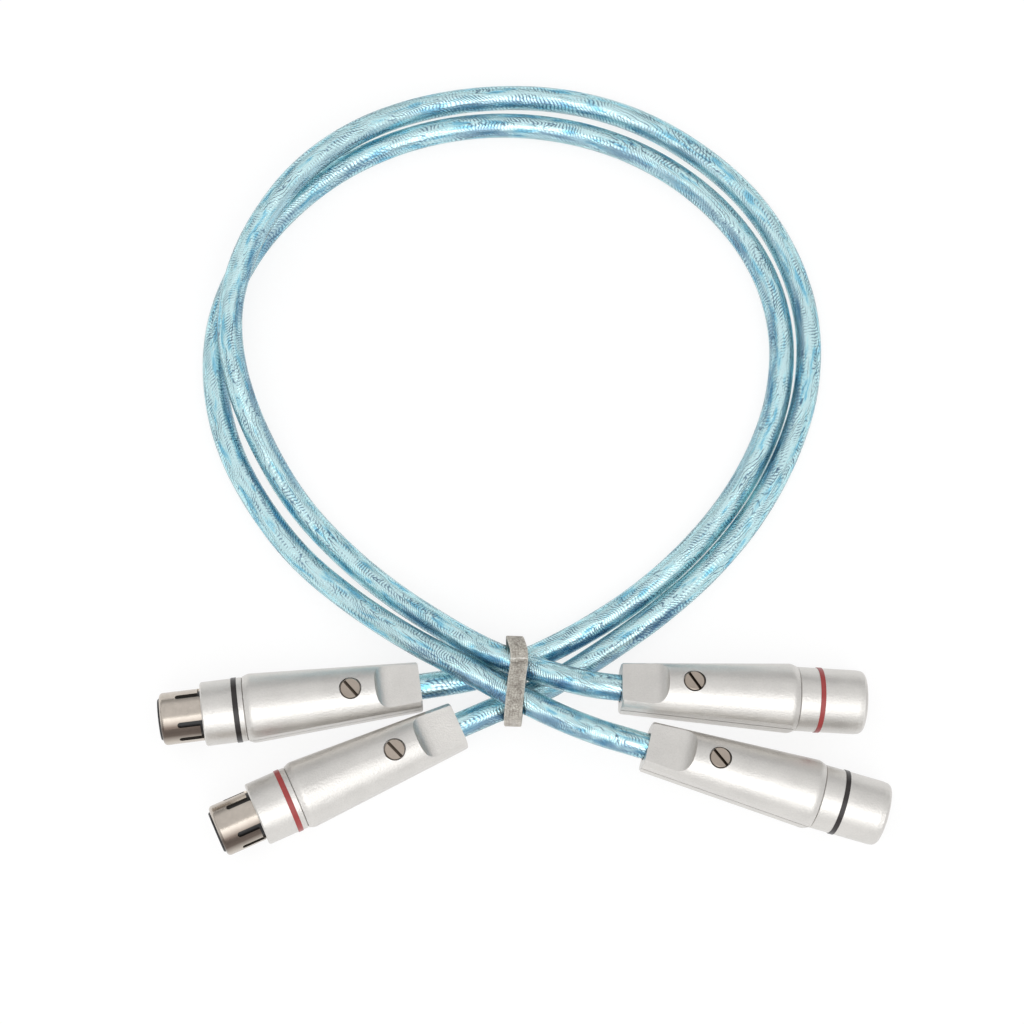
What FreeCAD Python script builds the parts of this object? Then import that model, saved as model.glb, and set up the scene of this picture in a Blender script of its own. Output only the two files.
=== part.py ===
import FreeCAD, Part
import os
import math

# Two balanced audio cables, one marked red and one marked black, laid as a single
# round turn on a table. Each cable has a plug with pins at one end and a socket
# at the other. A textile strap holds the four strands where they cross.
# Frame: +Z up, Z = 0 is the table, X to the right, Y away from the viewer.

V = FreeCAD.Vector
os.makedirs("parts", exist_ok=True)

# Cable and the metal that the housings grip
CABLE_R = 4.0               # outside of the jacket
BARREL_R = 7.95             # standard outside of a socket barrel
SHELL_BORE = BARREL_R + 0.15
SHELL_WALL = 1.65           # wall of a plug's sleeve
METAL_R = SHELL_BORE + SHELL_WALL
NECK_R = METAL_R - 1.15     # where a housing's lip grips sleeve and collar
FLANGE_R = NECK_R + 0.4
BEND_SHARE = 0.45           # share of the shorter run that each bend takes up
ROUTE_MID_X = 3.087         # middle of the whole set in the route's own numbers
ROUTE_MID_Y = 17.634

# Housing, two equal halves that split lengthwise
HOUSE_L = 53.5
HOUSE_R_REAR = CABLE_R + 3.7
HOUSE_R_FRONT = METAL_R + 0.85
HOUSE_CHAMFER_L = 1.8       # bevel at the front end
HOUSE_CHAMFER_H = 0.75
HOUSE_SOFT_R = 3.2          # rounds the bevel into the cone
HOUSE_EDGE = 0.4            # small bevel at the rear edge
FLAT_HALF_H = 2.8           # half the height of the flat on each side
SEAM_HALF_H = 0.15          # half the height of the dark line between the halves
SEAM_DEPTH = 0.45
WALL = 1.9
SCOOP_L = 14.0              # grip cut-out over the cable
SCOOP_Z = CABLE_R + 0.9
SCOOP_FILLET = 4.8
CABLE_GAP = 0.25            # room between jacket and housing
STOP_X = 15.0               # the jacket ends here against a shoulder
STOP_T = 0.8
STOP_HOLE_R = CABLE_R - 1.0
GROOVE_X0 = HOUSE_L - 6.6   # groove that holds the flanges
GROOVE_X1 = HOUSE_L - 1.5
GROOVE_R = FLANGE_R + 0.2
LIP_R = NECK_R + 0.25
END_WALL = 1.1

# Clamp screw
SCREW_X = 21.3
HEAD_R = 3.1
HEAD_H = 2.0
HEAD_SINK = 0.15            # top of the head below the housing's surface
HEAD_SURFACE = (HOUSE_R_REAR + (HOUSE_R_FRONT - HOUSE_R_REAR)
                * SCREW_X / (HOUSE_L - HOUSE_CHAMFER_L))
HEAD_Z = HEAD_SURFACE - HEAD_SINK - HEAD_H
BOSS_R = 2.6
BOSS_HEAD_R = HEAD_R + 0.8
BOSS_HEAD_Z = HEAD_Z - 1.05
HEAD_EDGE = 0.25
SHANK_R = 1.4
SHANK_Z = -0.62 * HOUSE_R_REAR
SCREW_GAP = 0.3             # room all round the turning screw
SLOT_W = 0.9
SLOT_D = 1.15
SLOT_TURN = {"black_female": -56.0, "red_female": -70.0, "red_male": -56.0, "black_male": -37.0}

# Where the flanges meet and where the metal in front begins
FLANGE_X = GROOVE_X0 + 2.4  # insert flange behind, metal flange in front
SEAM_X = HOUSE_L + 0.15

# Plug with pins
SHELL_X = SEAM_X + 20.65
INSERT_R = SHELL_BORE - 0.7
SHELL_BACK_BORE = INSERT_R + 0.15
FACE_X = SHELL_X - 15.0     # the sleeve is this deep
RING_PROUD = 0.2
RING_DEPTH = 0.65
PLUG_RING_X = SEAM_X + 6.75
PLUG_RING_W = 1.5
PIN_R = 1.2
PIN_TIP_X = SHELL_X - 1.2
PIN_ROOT_R = PIN_R + 0.18   # short collar at the pin's root
PIN_ROOT_X = FACE_X + 0.3
PIN_BODY_R = PIN_R + 0.5
PIN_SHOULDER_X = FACE_X - 2.0

# Socket end
COLLAR_X = SEAM_X + 12.75
BARREL_T = 0.8
BARREL_TAIL_R = BARREL_R - 0.2      # the barrel's tail inside the collar
BARREL_STEP_X = COLLAR_X + 0.3
BARREL_X = COLLAR_X + 12.6
BARREL_ROUND = 1.2
BARREL_SEAM = 12.0          # the turned face starts here, clear of all slots
BARREL_MOUTH = BARREL_R - 1.5
SOCKET_RING_X = SEAM_X + 2.5
SOCKET_RING_W = 1.65
NOSE_R = BARREL_MOUTH - 0.1
NOSE_FACE_X = BARREL_X + 0.6
TUBE_R = 1.75
TUBE_BORE = PIN_R + 0.05
TUBE_X0 = BARREL_X - 14.0
TUBE_X1 = NOSE_FACE_X - 1.9
ENTRY_R = 1.5
TONGUE_HALF = 20.0          # half angle between the two slots beside a tongue
TONGUE_ANGLES = (54.0, -54.0, 180.0)
TONGUE_SLOT_W = 1.7
TONGUE_FRONT = 5.0
TONGUE_REAR_X = COLLAR_X - 1.0
TONGUE_CROSS = 0.85

# Contacts
CONTACT_CIRCLE = BARREL_R - 3.65
CONTACT_ANGLES = (55.0, -55.0, 180.0)
CUP_X = GROOVE_X0 - 4.7
CUP_BOTTOM_X = CUP_X + 4.0
CORE_R = 0.8
CUP_HOLE_R = CORE_R + 0.15
SLIP = 0.1                  # room round contacts and inserts

# Strap
STRAP_T = 1.2
STRAP_W = 5.9
STRAP_X = 1.3
STRAP_Y0 = -68.3
STRAP_Y1 = -44.4
STRAP_TOP = 21.4
STRAP_CORNER = 4.2
STRAP_LEAN = -2.0
STRAP_TAIL_Y = -53.0
STRAP_TAIL_T = 0.8

# A socket end lies on its tapered housing. A plug stands on its front rim, with
# its rear held up by the cable.
CONE_TILT = math.degrees(math.atan((HOUSE_R_FRONT - HOUSE_R_REAR)
                                   / (HOUSE_L - HOUSE_CHAMFER_L)))
SHELL_FRONT = [
    (SHELL_X - 2.4, METAL_R), (SHELL_X - 1.0, METAL_R - 0.18), (SHELL_X - 0.4, METAL_R - 0.5),
    (SHELL_X - 0.1, METAL_R - 0.85), (SHELL_X, METAL_R - 1.2),
]


def resting_height(nose_down):
    """Height of a plug's rear face when its front rim touches the table."""
    a = math.radians(nose_down)
    return max(x * math.sin(a) + r * math.cos(a) for x, r in SHELL_FRONT)


# Connector places: X and Y of the rear face centre, heading in plan, nose up,
# and how far the screw side leans towards +Y, in degrees.
PLACES = {
    "black_female": ((-28.2, -57.6), -172.1, CONE_TILT, 5.0),
    "red_female": ((-16.4, -69.6), -155.4, CONE_TILT, -1.0),
    "red_male": ((32.8, -59.7), -2.4, -5.3, 15.0),
    "black_male": ((40.3, -77.5), -15.3, -6.0, 11.0),
}

# Routes of the two cables between the connectors
RED_ROUTE = [
    (4.0, -60.7, 5.9), (16.0, -54.4, 5.5), (30.1, -45.1, 4.7), (45.9, -33.9, 4.3),
    (62.5, -19.5, 4.0), (77.0, -2.2, 4.0), (87.8, 17.8, 4.1), (94.6, 38.7, 4.1),
    (95.7, 61.5, 4.1), (90.1, 83.8, 4.1), (78.4, 104.2, 4.1), (61.6, 120.3, 4.2),
    (41.2, 133.0, 4.2), (17.7, 139.9, 4.3), (-7.1, 140.9, 4.3), (-30.9, 136.4, 5.4),
    (-51.5, 126.2, 9.4), (-68.6, 111.6, 12.0), (-80.4, 94.4, 12.8), (-87.5, 77.7, 12.7),
    (-90.4, 60.4, 12.7), (-87.9, 41.9, 11.2), (-80.5, 22.6, 7.7), (-68.4, 1.9, 4.2),
    (-53.0, -14.8, 4.2), (-37.5, -28.1, 6.2), (-21.2, -39.6, 10.4), (-7.8, -47.8, 13.3),
    (4.6, -52.7, 14.3), (17.1, -56.9, 16.0),
]
BLACK_ROUTE = [
    (-6.0, -53.1, 5.7), (7.8, -47.7, 5.3), (21.8, -40.2, 4.5), (36.6, -30.4, 4.1),
    (51.6, -18.1, 4.0), (66.0, -1.5, 4.0), (77.6, 16.7, 4.0), (85.1, 36.8, 4.0),
    (87.1, 58.9, 4.0), (81.7, 80.4, 4.0), (69.4, 99.5, 4.0), (52.8, 114.4, 4.0),
    (32.6, 125.1, 4.0), (10.0, 130.6, 4.0), (-13.8, 130.9, 4.0), (-37.0, 125.4, 4.0),
    (-57.6, 115.0, 4.0), (-74.8, 100.0, 4.1), (-87.4, 82.4, 4.1), (-94.6, 62.7, 4.1),
    (-95.4, 41.8, 4.1), (-90.4, 20.5, 4.3), (-80.4, 1.5, 4.3), (-66.7, -16.3, 4.4),
    (-49.8, -30.7, 6.9), (-31.7, -43.5, 12.0), (-16.3, -52.0, 14.7), (-3.1, -59.5, 15.0),
    (11.9, -67.3, 15.6), (24.8, -72.8, 16.8),
]
LEAVE_FEMALE = 8.0          # straight run of cable behind a socket end
LEAVE_MALE = 4.0            # and behind a plug


def axis_of(name):
    """Unit direction from the rear face to the front of a connector."""
    heading = math.radians(PLACES[name][1])
    pitch = math.radians(PLACES[name][2])
    flat = math.cos(pitch)
    return V(flat * math.cos(heading), flat * math.sin(heading), math.sin(pitch))


def rear_of(name):
    """Rear face centre in the final frame."""
    x, y = PLACES[name][0]
    pitch = PLACES[name][2]
    z = HOUSE_R_REAR * math.cos(math.radians(CONE_TILT))
    if pitch < 0:
        z = resting_height(-pitch)
    return V(x - ROUTE_MID_X, y - ROUTE_MID_Y, z)


def placed(shape, name):
    """Turn a shape from the connector's own frame into its place on the table."""
    heading, pitch, lean = PLACES[name][1:4]
    facing = 1.0 if math.cos(math.radians(heading)) > 0 else -1.0
    roll = FreeCAD.Rotation(V(1, 0, 0), -lean * facing)
    tilt = FreeCAD.Rotation(V(0, 1, 0), -pitch)
    turn = FreeCAD.Rotation(V(0, 0, 1), heading)
    place = FreeCAD.Placement(rear_of(name), turn.multiply(tilt).multiply(roll))
    out = shape.copy()
    out.Placement = place.multiply(out.Placement)
    return out


def save(name, shape):
    """Write one node and tell its volume."""
    shape.exportStep("parts/" + name + ".step")
    good = shape.isValid()
    print(name, "volume", round(shape.Volume, 1), "valid", good, "solids", len(shape.Solids))


def turned(profile):
    """Solid of revolution about X from (x, r) points."""
    points = [V(x, 0, r) for x, r in profile]
    points.append(points[0])
    face = Part.Face(Part.makePolygon(points))
    return face.revolve(V(0, 0, 0), V(1, 0, 0), 360)


def rod(x0, x1, radius, y=0.0, z=0.0):
    """Cylinder along X."""
    return Part.makeCylinder(radius, x1 - x0, V(x0, y, z), V(1, 0, 0))


def post(z0, z1, radius, x):
    """Cylinder along Z on the middle plane."""
    return Part.makeCylinder(radius, z1 - z0, V(x, 0, z0), V(0, 0, 1))


def spun(shape, degrees):
    """Turn a shape about the X axis."""
    out = shape.copy()
    out.rotate(V(0, 0, 0), V(1, 0, 0), degrees)
    return out


def contact_spots():
    """Y and Z of the three contacts."""
    spots = []
    for angle in CONTACT_ANGLES:
        a = math.radians(angle)
        spots.append((CONTACT_CIRCLE * math.sin(a), CONTACT_CIRCLE * math.cos(a)))
    return spots


# Housing halves
def cone_r(x):
    """Outside radius of the housing at x."""
    span = HOUSE_L - HOUSE_CHAMFER_L
    return HOUSE_R_REAR + (HOUSE_R_FRONT - HOUSE_R_REAR) * x / span


def flat_y(x):
    """Half width over the side flats at x."""
    return math.sqrt(cone_r(x) ** 2 - FLAT_HALF_H ** 2)


def side_block(inset, z0, z1):
    """Everything outside the side flat, moved inwards by inset."""
    y0 = flat_y(0.0) - inset
    y1 = flat_y(HOUSE_L - HOUSE_CHAMFER_L) - inset
    slope = (y1 - y0) / (HOUSE_L - HOUSE_CHAMFER_L)
    xa = -5.0
    xb = HOUSE_L + 5.0
    corners = [V(xa, y0 + slope * xa, z0), V(xb, y0 + slope * xb, z0)]
    far = 2 * HOUSE_R_FRONT
    corners += [V(xb, far, z0), V(xa, far, z0)]
    corners.append(corners[0])
    face = Part.Face(Part.makePolygon(corners))
    block = face.extrude(V(0, 0, z1 - z0))
    return [block, block.mirror(V(0, 0, 0), V(0, 1, 0))]


def scoop():
    """Cut-out over the cable, with a rounded foot at its front wall."""
    foot = SCOOP_L - SCOOP_FILLET
    high = SCOOP_Z + SCOOP_FILLET
    bend = SCOOP_FILLET * math.sqrt(0.5)
    far = 1.5 * HOUSE_R_FRONT
    a = V(-2, -far, SCOOP_Z)
    b = V(foot, -far, SCOOP_Z)
    mid = V(foot + bend, -far, high - bend)
    c = V(SCOOP_L, -far, high)
    d = V(SCOOP_L, -far, far)
    e = V(-2, -far, far)
    edges = [Part.LineSegment(a, b).toShape(), Part.Arc(b, mid, c).toShape()]
    edges += [Part.LineSegment(c, d).toShape(), Part.LineSegment(d, e).toShape()]
    edges.append(Part.LineSegment(e, a).toShape())
    return Part.Face(Part.Wire(edges)).extrude(V(0, 2 * far, 0))


def housing_halves():
    """Upper and lower half of the grip housing."""
    bevel = HOUSE_L - HOUSE_CHAMFER_L
    outside = turned([
        (0, 0), (0, HOUSE_R_REAR - HOUSE_EDGE), (HOUSE_EDGE, cone_r(HOUSE_EDGE)),
        (bevel, HOUSE_R_FRONT), (HOUSE_L, HOUSE_R_FRONT - HOUSE_CHAMFER_H), (HOUSE_L, 0),
    ])
    soft = [edge for edge in outside.Edges if abs(edge.CenterOfMass.x - bevel) < 0.01
            and edge.Length > math.pi * HOUSE_R_FRONT]
    outside = outside.makeFillet(HOUSE_SOFT_R, soft)
    far = 1.5 * HOUSE_R_FRONT
    for block in side_block(0.0, -far, far):
        outside = outside.cut(block)
    cavity_x = STOP_X + STOP_T
    hollow = turned([
        (-1, 0), (-1, CABLE_R + CABLE_GAP), (STOP_X, CABLE_R + CABLE_GAP),
        (STOP_X, STOP_HOLE_R), (cavity_x, STOP_HOLE_R),
        (cavity_x, cone_r(cavity_x) - WALL), (GROOVE_X0 - END_WALL, cone_r(GROOVE_X0) - WALL),
        (GROOVE_X0 - END_WALL, INSERT_R), (GROOVE_X0, INSERT_R),
        (GROOVE_X0, GROOVE_R), (GROOVE_X1, GROOVE_R), (GROOVE_X1, LIP_R),
        (HOUSE_L + 1, LIP_R), (HOUSE_L + 1, 0),
    ])
    body = outside.cut(hollow)
    boss = post(-cone_r(SCREW_X) + 0.6, cone_r(SCREW_X) - 0.6, BOSS_R, SCREW_X)
    boss = boss.fuse(post(BOSS_HEAD_Z, cone_r(SCREW_X) - 0.9, BOSS_HEAD_R, SCREW_X))
    body = body.fuse(boss.common(outside))
    body = body.cut(scoop()).cut(scoop().mirror(V(0, 0, 0), V(0, 0, 1)))
    body = body.cut(post(HEAD_Z, far, HEAD_R + SCREW_GAP, SCREW_X))
    body = body.cut(post(SHANK_Z - SCREW_GAP, far, SHANK_R + SCREW_GAP, SCREW_X))
    for block in side_block(SEAM_DEPTH, -SEAM_HALF_H, SEAM_HALF_H):
        body = body.cut(block)
    long = 2 * HOUSE_L
    high = 2 * HOUSE_R_FRONT
    upper = body.common(Part.makeBox(long, 2 * high, high, V(-1, -high, 0)))
    lower = body.common(Part.makeBox(long, 2 * high, high, V(-1, -high, -high)))
    return upper, lower


def clamp_screw(slot_turn):
    """Slotted cheese-head screw that holds the halves together."""
    top = HEAD_Z + HEAD_H
    head = post(HEAD_Z, top, HEAD_R, SCREW_X)
    rim = [edge for edge in head.Edges if abs(edge.CenterOfMass.z - top) < 0.01]
    head = head.makeChamfer(HEAD_EDGE, rim)
    screw = head.fuse(post(SHANK_Z, HEAD_Z + 0.2, SHANK_R, SCREW_X))
    slot = Part.makeBox(4 * HEAD_R, SLOT_W, 2 * SLOT_D,
                        V(SCREW_X - 2 * HEAD_R, -SLOT_W / 2, top - SLOT_D))
    slot.rotate(V(SCREW_X, 0, 0), V(0, 0, 1), slot_turn)
    return screw.cut(slot)


def ring_groove(middle, width):
    """Space of the coloured ring."""
    x0 = middle - width / 2
    ring = rod(x0, x0 + width, METAL_R + 2)
    return ring.cut(rod(x0 - 1, x0 + width + 1, METAL_R - RING_DEPTH))


def colour_ring(middle, width):
    """Coloured ring that stands slightly proud of the metal."""
    x0 = middle - width / 2
    x1 = x0 + width
    inner = METAL_R - RING_DEPTH
    outer = METAL_R + RING_PROUD
    return turned([(x0, inner), (x0, outer - 0.1), (x0 + 0.1, outer), (x1 - 0.1, outer),
                   (x1, outer - 0.1), (x1, inner)])


# Plug with pins
def plug_shell():
    """Outer sleeve round the pins."""
    shell = turned([
        (FLANGE_X, SHELL_BACK_BORE), (FLANGE_X, FLANGE_R), (GROOVE_X1, FLANGE_R),
        (GROOVE_X1, NECK_R), (SEAM_X, NECK_R), (SEAM_X, METAL_R - 0.2), (SEAM_X + 0.2, METAL_R),
        *SHELL_FRONT, (SHELL_X, SHELL_BORE + 0.2), (SHELL_X - 0.2, SHELL_BORE),
        (FACE_X, SHELL_BORE), (FACE_X, SHELL_BACK_BORE),
    ])
    return shell.cut(ring_groove(PLUG_RING_X, PLUG_RING_W))


def plug_insert():
    """Plastic block that carries the pins."""
    block = turned([
        (GROOVE_X0 - 1.0, 0), (GROOVE_X0 - 1.0, INSERT_R - SLIP), (GROOVE_X0, INSERT_R - SLIP),
        (GROOVE_X0, FLANGE_R), (FLANGE_X, FLANGE_R), (FLANGE_X, INSERT_R), (FACE_X - 0.2, INSERT_R),
        (FACE_X, INSERT_R - 0.2), (FACE_X, 0),
    ])
    for y, z in contact_spots():
        block = block.cut(rod(CUP_X, PIN_SHOULDER_X, PIN_BODY_R + SLIP, y, z))
        block = block.cut(rod(CUP_X, FACE_X + 1, PIN_ROOT_R + SLIP, y, z))
    return block


def pin():
    """Round pin with a hollow solder cup behind, on the X axis."""
    tip = PIN_TIP_X
    body = turned([
        (CUP_X, 0), (CUP_X, PIN_BODY_R), (PIN_SHOULDER_X, PIN_BODY_R), (PIN_SHOULDER_X, PIN_ROOT_R),
        (PIN_ROOT_X, PIN_ROOT_R), (PIN_ROOT_X, PIN_R), (tip - 1.0, PIN_R),
        (tip - 0.45, PIN_R * 0.86), (tip - 0.12, PIN_R * 0.56), (tip, PIN_R * 0.25), (tip, 0),
    ])
    return body.cut(rod(CUP_X - 1, CUP_BOTTOM_X, CUP_HOLE_R))


# Socket end
def socket_collar():
    """Short sleeve between the housing and the barrel."""
    bore = BARREL_TAIL_R + SLIP
    collar = turned([
        (FLANGE_X, bore), (FLANGE_X, FLANGE_R), (GROOVE_X1, FLANGE_R), (GROOVE_X1, NECK_R),
        (SEAM_X, NECK_R), (SEAM_X, METAL_R - 0.2), (SEAM_X + 0.2, METAL_R),
        (COLLAR_X - 0.4, METAL_R), (COLLAR_X, METAL_R - 0.4), (COLLAR_X, bore),
    ])
    return collar.cut(ring_groove(SOCKET_RING_X, SOCKET_RING_W))


def socket_barrel():
    """Thin tube with a turned-in nose and three sprung tongues."""
    inner = BARREL_R - BARREL_T
    n = BARREL_ROUND
    arc = []
    for step in range(0, 7):
        a = math.radians(90 * step / 6)
        arc.append((BARREL_X - n + n * math.sin(a), BARREL_R - n + n * math.cos(a)))
    profile = [(FLANGE_X, inner), (FLANGE_X, BARREL_TAIL_R), (BARREL_STEP_X, BARREL_TAIL_R),
               (BARREL_STEP_X, BARREL_R)] + arc
    profile += [(BARREL_X, BARREL_MOUTH + 0.15), (BARREL_X - 0.15, BARREL_MOUTH)]
    profile += [(BARREL_X - 0.8, BARREL_MOUTH), (BARREL_X - 0.8, inner)]
    barrel = spun(turned(profile), BARREL_SEAM)
    front = BARREL_X - TONGUE_FRONT
    half = TONGUE_SLOT_W / 2
    low = inner - 0.5
    for angle in TONGUE_ANGLES:
        for side in (-TONGUE_HALF, TONGUE_HALF):
            run = front - half - TONGUE_REAR_X
            slot = Part.makeBox(run, TONGUE_SLOT_W, 3, V(TONGUE_REAR_X, -half, low))
            slot = slot.fuse(Part.makeCylinder(half, 3, V(front - half, 0, low), V(0, 0, 1)))
            barrel = barrel.cut(spun(slot, -(angle + side)))
        wide = 2 * BARREL_R * math.sin(math.radians(TONGUE_HALF))
        run = COLLAR_X + TONGUE_CROSS - TONGUE_REAR_X
        cross = Part.makeBox(run, wide, 3, V(TONGUE_REAR_X, -wide / 2, low))
        barrel = barrel.cut(spun(cross, -angle))
    return barrel


def socket_insert():
    """Plastic core with three contact holes, proud of the barrel's nose."""
    wide = BARREL_R - BARREL_T - SLIP
    shoulder = BARREL_X - 0.8 - SLIP
    core = turned([
        (GROOVE_X0 - 1.0, 0), (GROOVE_X0 - 1.0, wide), (GROOVE_X0, wide), (GROOVE_X0, FLANGE_R),
        (FLANGE_X, FLANGE_R), (FLANGE_X, wide), (shoulder, wide), (shoulder, NOSE_R),
        (NOSE_FACE_X - 0.3, NOSE_R), (NOSE_FACE_X, NOSE_R - 0.3), (NOSE_FACE_X, 0),
    ])
    for y, z in contact_spots():
        core = core.cut(rod(CUP_X, TUBE_X1, TUBE_R + SLIP, y, z))
        core = core.cut(rod(CUP_X, NOSE_FACE_X + 1, ENTRY_R, y, z))
    return core


def socket_contact():
    """Tube contact with a solder cup behind, on the X axis."""
    body = rod(CUP_X, TUBE_X1, TUBE_R)
    body = body.cut(rod(TUBE_X0, TUBE_X1 + 1, TUBE_BORE))
    return body.cut(rod(CUP_X - 1, CUP_BOTTOM_X, CUP_HOLE_R))


# Round runs with bends, used for the cables and for the cores inside
def centre_line(points, label):
    """Straight runs joined by tangent arcs."""
    edges = []
    here = points[0]
    least = 9999.0
    steepest = 0.0
    for i in range(1, len(points) - 1):
        back = points[i] - points[i - 1]
        on = points[i + 1] - points[i]
        cut = BEND_SHARE * min(back.Length, on.Length)
        turn = back.getAngle(on)
        back.normalize()
        on.normalize()
        radius = cut / math.tan(turn / 2)
        least = min(least, radius)
        steepest = max(steepest, math.degrees(turn))
        start = points[i] - back * cut
        end = points[i] + on * cut
        inward = on - back
        inward.normalize()
        middle = points[i] + inward * (radius / math.cos(turn / 2) - radius)
        edges.append(Part.LineSegment(here, start).toShape())
        edges.append(Part.Arc(start, middle, end).toShape())
        here = end
    edges.append(Part.LineSegment(here, points[-1]).toShape())
    wire = Part.Wire(edges)
    if label:
        print(label, "length", round(wire.Length, 1), "least radius", round(least, 1),
              "largest turn", round(steepest, 1))
    return wire


def tube(points, radius, label=""):
    """Round bar along the centre line."""
    wire = centre_line(points, label)
    direction = points[1] - points[0]
    circle = Part.Wire(Part.makeCircle(radius, points[0], direction))
    solid = wire.makePipeShell([circle], True, False)
    if not solid.Solids:
        solid = Part.Solid(Part.Shell(solid.Faces))
    expected = math.pi * radius ** 2 * wire.Length
    if label:
        print(label, "volume share of section times length", round(solid.Volume / expected, 4))
    return solid


def cores():
    """Three insulated cores from the jacket to the solder cups."""
    spots = contact_spots()
    side = BOSS_R + CORE_R + 0.75
    near = CORE_R * 1.75
    starts = [(near, CORE_R), (-near, CORE_R), (0.0, -near)]
    beside = [(side, near), (-side, 0.4), (side, -near)]
    before = SCREW_X - BOSS_R / 2
    after = SCREW_X + 1.2 * BOSS_R
    shapes = []
    for (y0, z0), (y1, z1), (y2, z2) in zip(starts, beside, spots):
        points = [V(STOP_X, y0, z0), V(STOP_X + CORE_R + 0.5, y0, z0), V(before, y1, z1),
                  V(after, y1, z1), V(CUP_X - 5 * CORE_R, y2, z2), V(CUP_BOTTOM_X, y2, z2)]
        shapes.append(tube(points, CORE_R))
    return Part.makeCompound(shapes)


def strap():
    """Textile strap wound once round the four strands, with its end lapped on top."""
    def loop(grow):
        x0 = STRAP_X - STRAP_W / 2
        y0 = STRAP_Y0 - grow
        wide = STRAP_Y1 - STRAP_Y0 + 2 * grow
        z0 = STRAP_T - grow
        high = STRAP_TOP - STRAP_T - STRAP_TAIL_T - STRAP_T + 2 * grow
        box = Part.makeBox(STRAP_W, wide, high, V(x0, y0, z0))
        along = [edge for edge in box.Edges if abs(edge.tangentAt(0.0).x) > 0.99]
        return box.makeFillet(STRAP_CORNER + grow, along)
    outer = loop(STRAP_T)
    top = STRAP_TOP - STRAP_TAIL_T
    tail_len = STRAP_TAIL_Y - (STRAP_Y0 + STRAP_CORNER)
    tail = Part.makeBox(STRAP_W, tail_len, STRAP_TAIL_T + 0.4,
                        V(STRAP_X - STRAP_W / 2, STRAP_Y0 + STRAP_CORNER, top - 0.4))
    band = outer.fuse(tail).cut(loop(0.0))
    band = band.removeSplitter()
    middle = V(STRAP_X, (STRAP_Y0 + STRAP_Y1) / 2, 0)
    band.rotate(middle, V(0, 0, 1), STRAP_LEAN)
    band.translate(V(-ROUTE_MID_X, -ROUTE_MID_Y, 0))
    return band


def route(points, start, finish):
    """Full list of corner points of one cable, from inside one end to inside the other."""
    a = axis_of(start)
    b = axis_of(finish)
    line = [rear_of(start) + a * STOP_X, rear_of(start) - a * LEAVE_FEMALE]
    line += [V(x - ROUTE_MID_X, y - ROUTE_MID_Y, z) for x, y, z in points]
    line += [rear_of(finish) - b * LEAVE_MALE, rear_of(finish) + b * STOP_X]
    return line


def samples(wire):
    """Evenly spaced points along a wire."""
    return wire.discretize(Number=420)


# Build the pieces that both plugs, or both socket ends, share
half_up, half_down = housing_halves()
core_set = cores()
plug_pieces = {"shell": plug_shell(), "insert": plug_insert(),
               "colour_ring": colour_ring(PLUG_RING_X, PLUG_RING_W)}
socket_pieces = {"collar": socket_collar(), "barrel": socket_barrel(),
                 "insert": socket_insert(),
                 "colour_ring": colour_ring(SOCKET_RING_X, SOCKET_RING_W)}
pin_shape = pin()
tube_shape = socket_contact()
everything = []

for name in PLACES:
    pieces = {"housing_upper": half_up, "housing_lower": half_down,
              "clamp_screw": clamp_screw(SLOT_TURN[name]), "cores": core_set}
    is_plug = name.endswith("_male")
    pieces.update(plug_pieces if is_plug else socket_pieces)
    contact = pin_shape if is_plug else tube_shape
    label = "pin_" if is_plug else "socket_"
    for number, (y, z) in enumerate(contact_spots(), 1):
        moved = contact.copy()
        moved.translate(V(0, y, z))
        pieces[label + str(number)] = moved
    for piece, shape in pieces.items():
        final = placed(shape, name)
        everything.append(final)
        save(name + "_" + piece, final)

red_line = route(RED_ROUTE, "red_female", "red_male")
black_line = route(BLACK_ROUTE, "black_female", "black_male")
red = tube(red_line, CABLE_R, "red cable")
black = tube(black_line, CABLE_R, "black cable")
save("red_cable", red)
save("black_cable", black)
tie = strap()
save("cable_tie", tie)
everything += [red, black, tie]

# Least gaps between strands
red_points = samples(centre_line(red_line, ""))
black_points = samples(centre_line(black_line, ""))
between = min(p.distanceToPoint(q) for p in red_points for q in black_points)
print("least gap red to black", round(between - 2 * CABLE_R, 2))
for label, line in (("red", red_points), ("black", black_points)):
    count = len(line)
    own = min(line[i].distanceToPoint(line[j]) for i in range(count)
              for j in range(i + 60, count))
    print("least gap of", label, "to itself", round(own - 2 * CABLE_R, 2))
for name in PLACES:
    print(name, "rear", [round(c, 3) for c in rear_of(name)],
          "axis", [round(c, 5) for c in axis_of(name)])
low = [1e9, 1e9, 1e9]
high = [-1e9, -1e9, -1e9]
for shape in everything:
    for point in shape.tessellate(0.05)[0]:
        for k in range(3):
            low[k] = min(low[k], point[k])
            high[k] = max(high[k], point[k])
print("box", [round(c, 3) for c in low], [round(c, 3) for c in high])
print("middle", round((low[0] + high[0]) / 2, 3), round((low[1] + high[1]) / 2, 3))
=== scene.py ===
# %% [markdown]
# # A coiled pair of audio cables
# The set lies on a white table: two clear blue cables in one round turn, four satin
# metal connectors and a grey textile strap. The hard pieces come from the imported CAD
# model and only get finishes here. The cables and the strap are soft, so they are made
# again, in the same places. All lengths are in metres, so MM turns millimetres into them.

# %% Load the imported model
import math
import bpy
import bmesh
from mathutils import Matrix, Vector


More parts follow.
